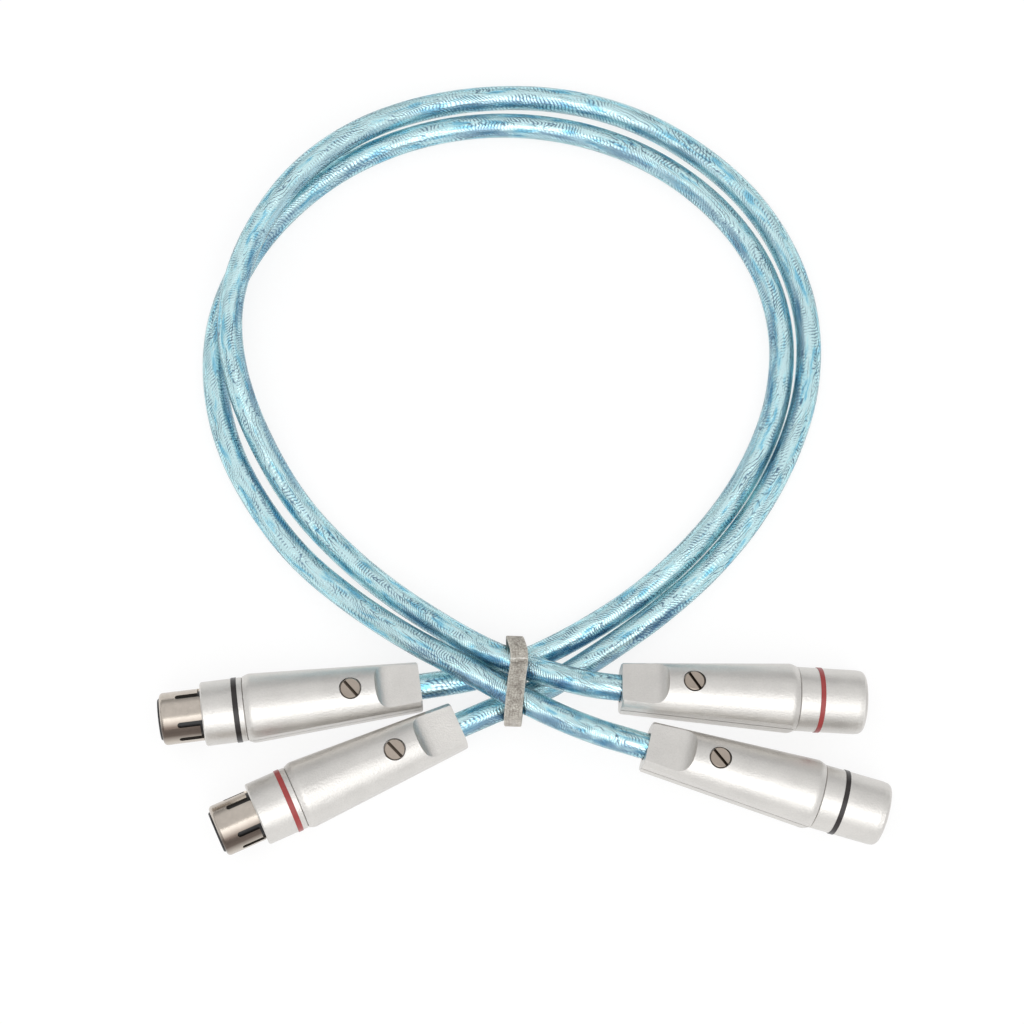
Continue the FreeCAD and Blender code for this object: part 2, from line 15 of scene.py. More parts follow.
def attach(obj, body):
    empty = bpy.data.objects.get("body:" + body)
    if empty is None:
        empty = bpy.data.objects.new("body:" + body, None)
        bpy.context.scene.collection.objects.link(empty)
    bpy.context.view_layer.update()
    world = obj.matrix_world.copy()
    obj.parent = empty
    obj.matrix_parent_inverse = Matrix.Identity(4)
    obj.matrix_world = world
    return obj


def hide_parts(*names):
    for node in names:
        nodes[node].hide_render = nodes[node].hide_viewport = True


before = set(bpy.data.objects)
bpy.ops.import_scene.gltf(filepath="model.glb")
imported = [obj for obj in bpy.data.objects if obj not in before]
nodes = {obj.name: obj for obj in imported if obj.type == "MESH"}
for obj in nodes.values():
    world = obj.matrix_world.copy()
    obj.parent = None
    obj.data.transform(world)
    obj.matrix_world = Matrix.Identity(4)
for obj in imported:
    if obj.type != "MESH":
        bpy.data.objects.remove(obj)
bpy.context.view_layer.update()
MM = 0.001
scene = bpy.context.scene

# %% [markdown]
# ## Camera
# The photo was taken from nearly straight above, leaning 15 degrees towards the viewer,
# from 72 cm away. A camera could also be aimed with a Track To constraint, but one
# rotation about X is all that this view needs. The 80 mm lens gives the photo's frame.

# %% Camera
TILT = math.radians(15)
DISTANCE = 0.720
AIM = Vector((-3.087, -17.634, 0)) * MM
camera = bpy.data.cameras.new("camera")
camera.lens = 80
camera.clip_start = 0.01
camera_object = bpy.data.objects.new("camera", camera)
scene.collection.objects.link(camera_object)
camera_object.location = AIM + Vector((0, -math.sin(TILT), math.cos(TILT))) * DISTANCE
camera_object.rotation_euler = (TILT, 0, 0)
scene.camera = camera_object
print("camera at", [round(c, 3) for c in camera_object.location])

# %% [markdown]
# ## Helpers for finishes
# Colours are picked as they look on a screen, and Blender wants them linear, so one
# helper converts them. The class starts a material and adds nodes to it in a few words.
# The node editor could be used by hand instead, but then nothing could be repeated.

# %% Helpers for finishes
def seen(r, g, b):
    """Screen colour to the linear values that a shader takes."""
    linear = (c / 12.92 if c <= 0.04045 else ((c + 0.055) / 1.055) ** 2.4 for c in (r, g, b))
    return tuple(linear) + (1.0,)


class Finish:
    """A material with its shader, and short ways to add nodes to it."""

    def __init__(self, name):
        self.material = bpy.data.materials.new(name)
        self.material.use_nodes = True
        self.tree = self.material.node_tree
        self.shader = self.tree.nodes["Principled BSDF"]
        self.output = self.tree.nodes["Material Output"]

    def set(self, **values):
        """Constants on the shader's sockets, named with _ for each space."""
        for key, value in values.items():
            self.shader.inputs[key.replace("_", " ")].default_value = value
        return self

    def node(self, kind, **values):
        """New node, with its settings or its sockets' constants given by name."""
        made = self.tree.nodes.new(kind)
        for key, value in values.items():
            if hasattr(made, key):
                setattr(made, key, value)
            else:
                made.inputs[key.replace("_", " ")].default_value = value
        return made

    def join(self, start, end):
        self.tree.links.new(start, end)

    def maths(self, operation, a, b=None):
        """One maths step on sockets or numbers."""
        made = self.node("ShaderNodeMath", operation=operation)
        for socket, value in zip(made.inputs, (a, b)):
            if value is None:
                continue
            if isinstance(value, (int, float)):
                socket.default_value = value
            else:
                self.join(value, socket)
        return made.outputs[0]

    def plus(self, a, b):
        return self.maths("ADD", a, b)

    def minus(self, a, b):
        return self.maths("SUBTRACT", a, b)

    def times(self, a, b):
        return self.maths("MULTIPLY", a, b)

    def ramp(self, factor, *stops):
        """Colour that follows factor through stops of a place and a colour."""
        made = self.node("ShaderNodeValToRGB")
        spots = made.color_ramp.elements
        while len(spots) < len(stops):
            spots.new(0.5)
        for spot, (place, colour) in zip(spots, stops):
            spot.position = place
            spot.color = colour if len(colour) == 4 else tuple(colour) + (1.0,)
        self.join(factor, made.inputs[0])
        return made.outputs[0]

    def laid_over(self, under, over, amount):
        """Plain colour over laid on the colour of socket under, by the given amount."""
        made = self.node("ShaderNodeMix", data_type="RGBA")
        self.join(amount, made.inputs["Factor"])
        self.join(under, made.inputs[6])
        made.inputs[7].default_value = over
        return made.outputs[2]

    def span(self, value, low, high):
        """Straight rise from 0 where value is low to 1 where it is high, and flat beyond."""
        made = self.node("ShaderNodeMapRange")
        self.join(value, made.inputs["Value"])
        made.inputs["From Min"].default_value = low
        made.inputs["From Max"].default_value = high
        return made.outputs[0]

    def noise(self, scale, detail=3.0, vector=None):
        """Noise over the object's own coordinates, or over another vector."""
        made = self.node("ShaderNodeTexNoise", Scale=scale, Detail=detail)
        if vector is None:
            vector = self.node("ShaderNodeTexCoord").outputs["Object"]
        self.join(vector, made.inputs["Vector"])
        return made.outputs["Fac"]

    def bump(self, height, distance, strength=1.0):
        """Fine relief from a height, with its full rise in metres."""
        made = self.node("ShaderNodeBump", Strength=strength, Distance=distance)
        self.join(height, made.inputs["Height"])
        self.join(made.outputs[0], self.shader.inputs["Normal"])


print("finish helpers ready")

# %% [markdown]
# ## Table
# The photo has an even white ground with faint soft shadows. One disc of paper does it,
# with its rim drawn up into a low wall, so that a low camera still looks at paper and
# not past it. A square grid with a curved edge would do too, but a profile that is spun
# has no corners to be seen. Most of what the camera and mirrors see of it is plain white,
# and the rest is lit, which keeps the object's shadow but makes it as faint as in the
# photo. The lit part is a little under white, and the plain part makes up for it.

# %% Table
PROFILE = ((0.001, 0), (2.0, 0), (2.5, 0.12), (2.6, 0.35))
SPIN_STEPS = 64
HUB = 0.01
PLAIN_SHARE = 0.8
PLAIN_WHITE = 1.035
table_mesh = bmesh.new()
corner = [table_mesh.verts.new((x, 0, z)) for x, z in PROFILE]
rim = [table_mesh.edges.new(pair) for pair in zip(corner, corner[1:])]
bmesh.ops.spin(table_mesh, geom=corner + rim, cent=(0, 0, 0), axis=(0, 0, 1),
               angle=2 * math.pi, steps=SPIN_STEPS, use_merge=True)
bmesh.ops.holes_fill(table_mesh, edges=[e for e in table_mesh.edges if e.is_boundary and
                                        max(v.co.length for v in e.verts) < HUB])
bmesh.ops.recalc_face_normals(table_mesh, faces=table_mesh.faces)
if max(table_mesh.faces, key=lambda f: f.calc_area()).normal.z < 0:
    bmesh.ops.reverse_faces(table_mesh, faces=table_mesh.faces)
floor_data = bpy.data.meshes.new("table")
table_mesh.to_mesh(floor_data)
table_mesh.free()
floor = bpy.data.objects.new("table", floor_data)
scene.collection.objects.link(floor)
paper = Finish("white_table").set(
    Base_Color=(0.95, 0.95, 0.95, 1), Roughness=0.7, Specular_IOR_Level=0.1)
white = paper.node("ShaderNodeEmission", Color=(1, 1, 1, 1), Strength=PLAIN_WHITE)
path = paper.node("ShaderNodeLightPath")
seen_ray = paper.maths("MAXIMUM", path.outputs["Is Camera Ray"], path.outputs["Is Glossy Ray"])
seen_ray = paper.maths("MAXIMUM", seen_ray, path.outputs["Is Transmission Ray"])
blend = paper.node("ShaderNodeMixShader")
paper.join(paper.times(seen_ray, PLAIN_SHARE), blend.inputs[0])
paper.join(paper.shader.outputs[0], blend.inputs[1])
paper.join(white.outputs[0], blend.inputs[2])
paper.join(blend.outputs[0], paper.output.inputs["Surface"])
floor_data.materials.append(paper.material)
print("table faces", len(floor_data.polygons))

# %% [markdown]
# ## Light
# The metal tells how the photo was lit: its brightest band faces slightly towards the
# viewer, and both its flanks fall to a middle grey. So one wide soft lamp stands above
# the viewer. The world is a grey dome, dark at the horizon and pale above, and a little
# paler on the viewer's side. A picture of a studio could light it too, but a ramp on the
# direction is enough for shapes this plain.

# %% Light
VIEWER_SIDE = -0.18
SKY = ((0.0, 0.27), (0.45, 0.88))
world = bpy.data.worlds.new("studio")
scene.world = world
world.use_nodes = True
sky = world.node_tree
direction = sky.nodes.new("ShaderNodeSeparateXYZ")
toward = sky.nodes.new("ShaderNodeMath")
toward.operation = "MULTIPLY_ADD"
toward.inputs[1].default_value = VIEWER_SIDE
shade = sky.nodes.new("ShaderNodeValToRGB")
sky.links.new(sky.nodes.new("ShaderNodeTexCoord").outputs["Generated"], direction.inputs[0])
sky.links.new(direction.outputs[1], toward.inputs[0])
sky.links.new(direction.outputs[2], toward.inputs[2])
sky.links.new(toward.outputs[0], shade.inputs[0])
sky.links.new(shade.outputs[0], sky.nodes["Background"].inputs["Color"])
for stop, (place, grey) in zip(shade.color_ramp.elements, SKY):
    stop.position = place
    stop.color = (grey, grey, grey, 1)


def lamp(name, place, aim, size, power):
    """Square soft lamp at place, turned to aim."""
    data = bpy.data.lights.new(name, "AREA")
    data.size = size
    data.energy = power
    made = bpy.data.objects.new(name, data)
    scene.collection.objects.link(made)
    made.location = place
    made.rotation_euler = (Vector(aim) - Vector(place)).to_track_quat("-Z", "Y").to_euler()


lamp("key", place=(0.10, -0.72, 1.0), aim=(0, 0, 0), size=1.1, power=4.8)
scene.view_settings.view_transform = "Standard"

# %% [markdown]
# ## The two cables' routes
# Each cable is one free cord. It leaves a socket end at the left, goes once round and
# ends in a plug at the right. The route is a list of given corner points, and a NURBS
# spline of order 3 runs smoothly along it. A bezier curve would do too, but its handles
# are harder to keep even. The points are in millimetres, in a layout whose middle is
# moved to the model's origin.

# %% Routes
MIDDLE = Vector((3.087, 17.634, 0))
RED_ROUTE = [
    (4.0, -60.7, 5.9), (16.0, -54.4, 5.5), (30.1, -45.1, 4.7), (45.86, -33.84, 4.3),
    (62.24, -19.26, 4.0), (76.50, -1.88, 4.0), (87.43, 17.98, 4.1), (94.38, 38.74, 4.1),
    (95.7, 61.5, 4.1), (90.1, 83.8, 4.1), (78.4, 104.2, 4.1), (61.6, 120.3, 4.2),
    (41.2, 133.0, 4.2), (17.7, 139.9, 4.3), (-7.1, 140.9, 4.3), (-30.9, 136.4, 5.4),
    (-51.5, 126.2, 9.4), (-68.6, 111.6, 12.0), (-80.4, 94.4, 12.8), (-87.5, 77.7, 12.7),
    (-90.4, 60.4, 12.7), (-87.9, 41.9, 11.2), (-80.5, 22.6, 7.7), (-68.4, 1.9, 4.2),
    (-53.0, -14.8, 4.2), (-37.5, -28.1, 6.2), (-21.2, -39.6, 10.4), (-7.8, -47.8, 13.3),
    (4.6, -52.7, 14.3), (17.1, -56.9, 16.0),
]
BLACK_ROUTE = [
    (-6.0, -53.1, 5.7), (7.8, -47.7, 5.3), (21.8, -40.2, 4.5), (36.77, -30.60, 4.1),
    (51.71, -18.21, 4.0), (66.49, -1.90, 4.0), (77.88, 16.55, 4.0), (85.41, 36.74, 4.0),
    (87.1, 58.9, 4.0), (81.7, 80.4, 4.0), (69.4, 99.5, 4.0), (52.8, 114.4, 4.0),
    (32.6, 125.1, 4.0), (10.0, 130.6, 4.0), (-13.8, 130.9, 4.0), (-37.0, 125.4, 4.0),
    (-57.6, 115.0, 4.0), (-74.8, 100.0, 4.1), (-87.4, 82.4, 4.1), (-94.6, 62.7, 4.1),
    (-95.4, 41.8, 4.1), (-90.4, 20.5, 4.3), (-80.4, 1.5, 4.3), (-66.7, -16.3, 4.4),
    (-49.8, -30.7, 6.9), (-31.7, -43.5, 12.0), (-16.3, -52.0, 14.7), (-3.1, -59.5, 15.0),
    (11.9, -67.3, 15.6), (24.8, -72.8, 16.8),
]
# each connector's rear face centre, its heading and its nose-up angle
PLACES = {
    "black_female": ((-28.2, -57.6, 7.688), -172.1, 3.2105),
    "red_female": ((-16.4, -69.6, 7.688), -155.4, 3.2105),
    "red_male": ((32.8, -59.7, 16.350), -2.4, -5.3),
    "black_male": ((40.3, -77.5, 17.212), -15.3, -6.0),
}
JACKET_END = 15.0
START_OUT = -8
FINISH_OUT = -4


def axis_of(name):
    """Unit direction from a connector's rear to its front."""
    heading, pitch = (math.radians(a) for a in PLACES[name][1:])
    return Vector((math.cos(pitch) * math.cos(heading), math.cos(pitch) * math.sin(heading),
                   math.sin(pitch)))


def along(name, distance):
    """Point on a connector's axis, in millimetres from its rear face."""
    return Vector(PLACES[name][0]) + axis_of(name) * distance


def full_route(start, points, finish):
    """Corner points in metres, in the model's frame, straight inside both connectors."""
    before = [along(start, JACKET_END), along(start, START_OUT)]
    after = [along(finish, FINISH_OUT), along(finish, JACKET_END)]
    every = before + [Vector(p) for p in points] + after
    return [(p - MIDDLE) * MM for p in every]


red_route = full_route("red_female", RED_ROUTE, "red_male")
black_route = full_route("black_female", BLACK_ROUTE, "black_male")
print("route points", len(red_route), len(black_route))

# %% [markdown]
# ## Jacket and foil
# The jacket is clear soft plastic with a blue tint, 8 mm across, and a silvery foil is
# wound under it. Both are curves with a round bevel along the same spline: the outer one
# is real glass-like plastic, and the inner one carries the foil. One tube with both
# painted on it would be lighter, but its rims wouldn't bend what lies under them.

# %% Jacket and foil shapes
JACKET_R = 4.0 * MM
FOIL_R = 3.3 * MM


def cord_curve(name, route, radius):
    """Round bar along a smooth NURBS line."""
    data = bpy.data.curves.new(name, "CURVE")
    data.dimensions = "3D"
    spline = data.splines.new("NURBS")
    spline.points.add(len(route) - 1)
    for point, place in zip(spline.points, route):
        point.co = (*place, 1.0)
    spline.order_u = 3
    spline.use_endpoint_u = True
    spline.resolution_u = 10
    data.bevel_depth = radius
    data.bevel_resolution = 8
    data.use_fill_caps = True
    made = bpy.data.objects.new(name, data)
    scene.collection.objects.link(made)
    return made


red_jacket = cord_curve("red_cable_jacket", red_route, JACKET_R)
black_jacket = cord_curve("black_cable_jacket", black_route, JACKET_R)
red_foil = cord_curve("red_cable_foil", red_route, FOIL_R)
black_foil = cord_curve("black_cable_foil", black_route, FOIL_R)
print("curves", [o.name for o in (red_jacket, black_jacket, red_foil, black_foil)])

# %% [markdown]
# ## Jacket finish
# The plastic itself is clear. A volume inside it takes up red light with depth, so the
# rims, where the way through is long, come out a deeper blue. A tint on the surface would
# be simpler, but it is the same everywhere. A faint bump makes the skin a little uneven.

# %% Jacket finish
jacket = Finish("clear_blue_jacket").set(
    Base_Color=(1, 1, 1, 1), Roughness=0.1, IOR=1.46, Transmission_Weight=1.0)
depth_tint = jacket.node("ShaderNodeVolumeAbsorption", Color=(0.08, 0.83, 0.93, 1),
                         Density=300.0)
jacket.join(depth_tint.outputs[0], jacket.output.inputs["Volume"])
jacket.bump(jacket.noise(300.0, 3.0), 0.00012, 0.6)
for piece in (red_jacket, black_jacket):
    piece.data.materials.append(jacket.material)
print("jacket finish on both cables")

# %% [markdown]
# ## Foil patterns
# The foil is wound in a steep spiral and creased across. Its patterns follow the curve's
# own UV map: U runs along the cable and V round it. Noise is read on a circle round the
# cable, so that it has no seam where V starts again. A wave of U and V together gives
# spiral ridges, and noise bends them. An image could show all this too, but it would blur
# close by, and it would be stretched where a route is changed.

# %% Foil patterns
class Foil(Finish):
    """Finish that follows a cable's UV map, with its patterns slid along by shift."""

    def __init__(self, name, shift):
        super().__init__(name)
        uv = self.node("ShaderNodeSeparateXYZ")
        self.join(self.node("ShaderNodeTexCoord").outputs["UV"], uv.inputs[0])
        self.u, self.v = uv.outputs[0], uv.outputs[1]
        self.angle = self.times(self.v, 2 * math.pi)
        self.slid = self.plus(self.u, shift)
        self.bend = self.skin(45.0, 0.9, 2.0, 7.0)
        self.jitter = self.times(self.skin(330.0, 2.0, 1.0, 11.0), 0.6)

    def skin(self, along_it, round_it, detail=2.0, seed=0.0):
        """Noise on the foil: how many cells along the cable, how tight round it."""
        made = self.node("ShaderNodeCombineXYZ")
        self.join(self.plus(self.times(self.slid, along_it), seed), made.inputs[0])
        self.join(self.times(self.maths("COSINE", self.angle), round_it), made.inputs[1])
        self.join(self.times(self.maths("SINE", self.angle), round_it), made.inputs[2])
        return self.noise(1.0, detail, made.outputs[0])

    def ridges(self, count, slant, wander, sharpness):
        """Spiral ridges: how many along the cable, how many passed in one trip round it."""
        phase = self.plus(self.times(self.slid, count), self.times(self.v, slant))
        phase = self.plus(phase, self.times(self.bend, wander))
        phase = self.plus(phase, self.jitter)
        wave = self.maths("SINE", self.times(phase, 2 * math.pi))
        return self.maths("POWER", self.plus(self.times(wave, 0.5), 0.5), sharpness)


print("foil patterns ready")

# %% [markdown]
# ## Strokes on the foil
# The winding shows as fine curved strokes across the foil: pale ones nearly everywhere,
# dark ones in places, and a few sharp creases. The dark strokes and the creases are
# painted shade, laid into the foil's colour. Each kind is a set of ridges, and a noise
# says where it shows. They could be cut into the mesh, but hundreds of them on each cable
# would make it very heavy, and they are much finer than the cable's outline.

# %% Strokes on the foil
RIDGES, RIDGE_SLANT = 640, -12
CREASES, CREASE_SLANT = 150, -20


def strokes(foil):
    """The fine ridges, their height, the dark ones of painted shade and the creases."""
    fine = foil.ridges(RIDGES, RIDGE_SLANT, 6.0, 1.5)
    fine_mask = foil.span(foil.skin(90.0, 1.6, 1.0, 31.0), 0.25, 0.45)
    waves = foil.times(fine, foil.plus(foil.times(fine_mask, 0.26), 0.08))
    stroke_shade_mask = foil.span(foil.skin(70.0, 1.8, 2.0, 63.0), 0.48, 0.66)
    dark = foil.times(foil.ridges(RIDGES, RIDGE_SLANT, 6.0, 2.5), stroke_shade_mask)
    crease_mask = foil.span(foil.skin(60.0, 1.5, 1.0, 87.0), 0.48, 0.62)
    crease = foil.times(foil.ridges(CREASES, CREASE_SLANT, 7.0, 14.0), crease_mask)
    return fine, waves, dark, crease


print("strokes ready,", RIDGES, "ridges and", CREASES, "creases on a cable")

# %% [markdown]
# ## The foil's dark flank
# Along one flank the foil's colour is darker, in a ragged band of painted shade. In the
# round turn that is the flank inside the turn, and near the connectors the other one.
# The band is found by its angle round the cable, and noise frays its edge. It could be
# painted on by hand in Texture Paint, but a rule follows the cable wherever it is laid.

# %% The foil's dark flank
TOP_V = 0.2
FLANK = math.radians(60)


def painted_flank_shade(foil, fine, crinkle):
    """How dark the painted shade makes each place of the foil, 0 on most of it."""
    loop_part = foil.times(foil.span(foil.u, 0.14, 0.22), foil.span(foil.u, 0.84, 0.76))
    side = foil.minus(1.0, foil.times(loop_part, 2.0))
    turn = foil.minus(foil.angle, 2 * math.pi * TOP_V)
    sideways = foil.times(foil.times(foil.maths("SINE", turn), side), math.sin(FLANK))
    facing = foil.plus(foil.times(foil.maths("COSINE", turn), math.cos(FLANK)), sideways)
    ragged = foil.skin(55.0, 1.2, 3.0, 51.0)
    for fray, amount in ((ragged, 0.7), (fine, 0.12), (crinkle, 0.3)):
        facing = foil.plus(facing, foil.times(fray, amount))
    strength = foil.minus(1.4, foil.times(loop_part, 0.7))
    strength = foil.plus(foil.span(foil.skin(28.0, 0.3, 1.0, 5.0), 0.35, 0.6), strength)
    return foil.times(foil.span(facing, 1.35, 1.56), strength)


print("dark flank", round(math.degrees(FLANK)), "degrees from the top")

# %% [markdown]
# ## Foil finish
# All of it comes together: a bright ground that changes slowly along the cable, the
# painted shade of the dark flank and of the dark strokes over it, and a relief of dents,
# crinkles and strokes. Both cables could share one material, but then they would match,
# spot for spot, where they lie side by side. So each has its own, with the patterns slid
# along.

# %% Foil finish
FLANK_SHADE_BLUE = seen(0.24, 0.45, 0.62)
STROKE_SHADE_BLUE = seen(0.10, 0.36, 0.52)


def silvery_foil(name, shift):
    """Finish of one cable's foil, with its patterns slid along the cable by shift."""
    foil = Foil(name, shift).set(Metallic=0.9, Roughness=0.22)
    dents = foil.skin(80.0, 1.8, 3.0)
    crinkle = foil.skin(260.0, 4.0, 3.0, 19.0)
    fine, waves, dark, crease = strokes(foil)
    flank_shade = painted_flank_shade(foil, fine, crinkle)
    ground = foil.ramp(dents, (0.33, seen(0.64, 0.85, 0.94)), (0.43, seen(0.94, 0.99, 1.0)),
                       (0.50, seen(1.0, 1.0, 1.0)))
    # painted shade: the flank's colour is darkened towards a deep blue
    tone = foil.laid_over(ground, FLANK_SHADE_BLUE, foil.times(flank_shade, 0.40))
    # painted shade: the dark strokes and the creases darken the foil's colour
    dark = foil.maths("MINIMUM", foil.plus(dark, crease), 1.0)
    tone = foil.laid_over(tone, STROKE_SHADE_BLUE, foil.times(dark, 0.85))
    foil.join(tone, foil.shader.inputs["Base Color"])
    relief = foil.plus(foil.times(dents, 3.6), foil.times(crinkle, 0.4))
    relief = foil.minus(foil.plus(relief, waves), foil.times(crease, 0.5))
    foil.bump(relief, 0.00009, 1.0)
    return foil.material


red_foil.data.materials.append(silvery_foil("silvery_foil_red", 0.0))
black_foil.data.materials.append(silvery_foil("silvery_foil_black", 0.37))
print("foil finishes on", [o.name for o in (red_foil, black_foil)])

# %% [markdown]
# ## Cords
# A real cable bends when a connector is picked up. A curve doesn't tell that, and nothing
# here lets it bend. Each cable's jacket and its foil are hung on one empty together, and
# the model's stiff cable is hidden, so that they take its place. Each cable's real
# length, 0.668 m and 0.667 m, is listed with it but not used.

for colour, piece, inner, route, real in (("red", red_jacket, red_foil, red_route, 0.668),
                                          ("black", black_jacket, black_foil, black_route, 0.667)):
    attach(piece, "coil")
    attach(inner, "coil")
    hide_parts(colour + "_cable")
    print(colour, "cable declared,", real, "m")

# %% [markdown]
# ## Strap
# The strap is a hook-and-loop band of brushed textile. It starts under its own end, goes
# down and round the four strands, comes up at the front and laps over itself on top. A
# flat curve with an extrusion gives the band and its rounded edges in one step. It is
# then a mesh, so that it can be bowed a little sideways, as it is in the photo. A
# sheet laid round the strands as cloth would do too, but it would land in another place.

# %% Strap shape
STRAP = dict(y0=-68.3, y1=-44.4, bottom=1.2, top=19.4, corner=4.2, thick=1.2, width=5.4, x=1.2)
HIDDEN_END = -60.5
LAP_RISE = 1.0
LAP = ((-59.0, LAP_RISE), (-54.5, LAP_RISE), (-53.0, 0.75))
ARC_STEPS = 8
ROUND = 0.5 * MM
LEAN = math.radians(-2.0)


def strap_path():
    """Points of the band's middle line as (y, z), from the hidden end to the lapped end."""
    s = STRAP
    half = s["thick"] / 2
    left, right = s["y0"] - half, s["y1"] + half
    low, high = s["bottom"] - half, s["top"] + half
    r = s["corner"] + half
    path = [(HIDDEN_END, high), (right - r - 3, high), (right - r, high)]

    def turn(cy, cz, a0, a1, rise=r):
        for step in range(1, ARC_STEPS + 1):
            a = math.radians(a0 + (a1 - a0) * step / ARC_STEPS)
            path.append((cy + r * math.cos(a), cz + rise * math.sin(a)))
    turn(right - r, high - r, 90, 0)
    path.append((right, low + r))
    turn(right - r, low + r, 0, -90)
    path.append((left + r, low))
    turn(left + r, low + r, -90, -180)
    path.append((left, high - r - 2))
    turn(left + r, high - r, 180, 90, r + LAP_RISE)
    path.extend((y, high + rise) for y, rise in LAP)
    return path


def bow(far):
    """Sideways shift in millimetres: a bulge behind the middle, and both ends drawn back.

    far is 0 at the band's front and 1 at its back.
    """
    return (0.8 * math.exp(-((far - 0.70) / 0.24) ** 2) - 1.0 * max(0.0, far - 0.84) / 0.2
            - 0.5 * max(0.0, 0.30 - far) / 0.3)


band = bpy.data.curves.new("strap_line", "CURVE")
band.dimensions = "2D"
band.fill_mode = "NONE"
line = band.splines.new("POLY")
points = strap_path()
line.points.add(len(points) - 1)
for point, (y, z) in zip(line.points, points):
    point.co = (y * MM, z * MM, 0, 1)
band.extrude = STRAP["width"] / 2 * MM - ROUND
band.bevel_depth = ROUND
band.bevel_resolution = 3
band_object = bpy.data.objects.new("strap_line", band)
scene.collection.objects.link(band_object)
bpy.context.view_layer.update()
evaluated = band_object.evaluated_get(bpy.context.evaluated_depsgraph_get())
strap_data = bpy.data.meshes.new_from_object(evaluated)
bpy.data.objects.remove(band_object)
strap_data.name = "strap"
print("strap line", len(points), "points")

# %% [markdown]
# ## Strap mesh
# The real band leans a little, and it bows sideways where the strands press on it. So the
# mesh is closed, cut finer, stood up, turned and bowed. How far each point lies across
# the band is kept with it, so that the finish can find the edges. Modifiers could
# bend it too, but a bow of this shape would need a helper object for each of its parts.

# %% Strap mesh
LONG_EDGE = 0.8 * MM
CUTS = 5
shape = bmesh.new()
shape.from_mesh(strap_data)
bmesh.ops.remove_doubles(shape, verts=shape.verts, dist=1e-6)
bmesh.ops.holes_fill(shape, edges=[e for e in shape.edges if e.is_boundary])
long_edges = [e for e in shape.edges if e.calc_length() > LONG_EDGE]
bmesh.ops.subdivide_edges(shape, edges=long_edges, cuts=CUTS, use_grid_fill=True)
# the flat curve's X is the model's Y, its Y is the model's Z and its Z is the model's X
turned = Matrix(((0, 0, 1, 0), (1, 0, 0, 0), (0, 1, 0, 0), (0, 0, 0, 1)))
bmesh.ops.transform(shape, matrix=turned, verts=shape.verts)
lateral = shape.verts.layers.float.new("across_band")
for vert in shape.verts:
    vert[lateral] = vert.co.x / (STRAP["width"] / 2 * MM)
middle = Vector((0, (STRAP["y0"] + STRAP["y1"]) / 2 * MM, 0))
about = Matrix.Translation(middle)
lean = about @ Matrix.Rotation(LEAN, 4, "Z") @ Matrix.Translation(-middle)
bmesh.ops.transform(shape, matrix=lean, verts=shape.verts)
for vert in shape.verts:
    vert.co.x += bow((vert.co.y / MM - STRAP["y0"]) / (STRAP["y1"] - STRAP["y0"])) * MM
bmesh.ops.translate(shape, vec=Vector((STRAP["x"], 0, 0)) * MM - MIDDLE * MM, verts=shape.verts)
bmesh.ops.recalc_face_normals(shape, faces=shape.faces)
shape.to_mesh(strap_data)
shape.free()
for face in strap_data.polygons:
    face.use_smooth = True
strap = bpy.data.objects.new("strap", strap_data)
scene.collection.objects.link(strap)
print("strap faces", len(strap_data.polygons))

# %% [markdown]
# ## Strap finish
# The strap is warm grey textile with a brushed nap. Fine and coarse noise make the nap,
# seen as tone and as bump. The two edges are paler, faint ribs run along the band, and a
# pale seam crosses it where it bends down at the front. Short hairs would look better
# from very near, but they cost far more than a band this small is worth.

# %% Strap finish
SEAM_Y = -0.0680
SEAM_HALF = 0.00022
RIBS = 19.0
felt = Finish("brushed_textile").set(
    Roughness=0.95, Sheen_Weight=0.5, Sheen_Roughness=0.6,
    Sheen_Tint=seen(0.92, 0.89, 0.86), Specular_IOR_Level=0.15)
fuzz, soft = felt.noise(2100.0, 4.0), felt.noise(420.0, 2.0)
nap = felt.plus(felt.times(fuzz, 0.65), felt.times(soft, 0.35))
across = felt.node("ShaderNodeAttribute", attribute_name="across_band").outputs["Fac"]
rim = felt.maths("POWER", felt.maths("ABSOLUTE", across), 6.0)
rib = felt.maths("SINE", felt.times(across, RIBS))
place = felt.node("ShaderNodeSeparateXYZ")
felt.join(felt.node("ShaderNodeTexCoord").outputs["Object"], place.inputs[0])
wander = felt.times(felt.noise(650.0, 1.0), 0.0016)
off_seam = felt.plus(felt.minus(place.outputs[1], SEAM_Y), wander)
off_seam = felt.maths("DIVIDE", felt.maths("ABSOLUTE", off_seam), SEAM_HALF)
seam = felt.minus(1.0, felt.maths("MINIMUM", off_seam, 1.0))
pale = felt.plus(nap, felt.times(rim, 0.12))
pale = felt.plus(pale, felt.plus(felt.times(seam, 0.35), felt.times(rib, 0.02)))
felt.join(felt.ramp(pale, (0.36, seen(0.50, 0.475, 0.45)), (0.50, seen(0.64, 0.62, 0.585)),
                    (0.66, seen(0.80, 0.785, 0.75)), (0.85, seen(0.90, 0.89, 0.87))),
          felt.shader.inputs["Base Color"])
felt.bump(felt.plus(nap, felt.times(rib, 0.08)), 0.0005, 0.8)
strap_data.materials.append(felt.material)
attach(strap, "coil")
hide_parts("cable_tie")
print("strap finished")

# %% [markdown]
# ## Metal finishes
# The housings, collars and sleeves are cast and plated in a satin pearl nickel. The
# screws are a little browner, and the barrels brighter and smoother. All are noise over
# the object's own coordinates. Unwrapped faces could carry an image of the grain
# instead, but a blasted grain has no direction, so there is nothing to line up.

